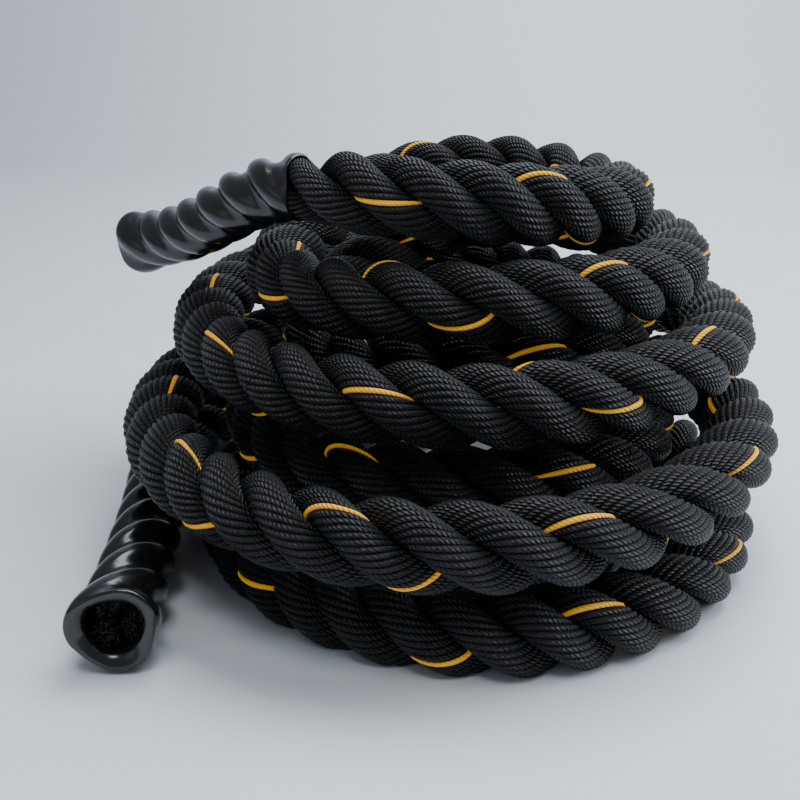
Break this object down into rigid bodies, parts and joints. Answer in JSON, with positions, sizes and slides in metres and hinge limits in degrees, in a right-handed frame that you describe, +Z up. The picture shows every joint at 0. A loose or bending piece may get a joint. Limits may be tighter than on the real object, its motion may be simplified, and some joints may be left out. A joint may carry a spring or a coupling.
{
  "type": "battle rope",
  "caption": "Heavy three-strand laid training rope piled in a round coil, with a heat-shrunk grip sleeve over each end.",
  "frame": {"origin": "middle of the bounding box at the floor, under the coil", "axes": "+Z up from the floor, +Y away from the side where the lower grip sleeve ends, +X to the right of that view"},
  "size_m": [0.3712, 0.3996, 0.1998],
  "materials": {
    "rope_yarn": "satin black polyester yarn with one yellow tracer yarn in one strand",
    "shrink_film": "half-gloss black heat-shrink film",
    "cut_strand": "black yarn, cut and melted at the end face"
  },
  "bodies": {
    "root": {"rope_coil": "rope_yarn", "grip_sleeve_near": "shrink_film", "grip_sleeve_top": "shrink_film", "strand_end_near_1": "cut_strand", "strand_end_near_2": "cut_strand", "strand_end_near_3": "cut_strand", "strand_end_top_1": "cut_strand", "strand_end_top_2": "cut_strand", "strand_end_top_3": "cut_strand"}
  },
  "joints": []
}
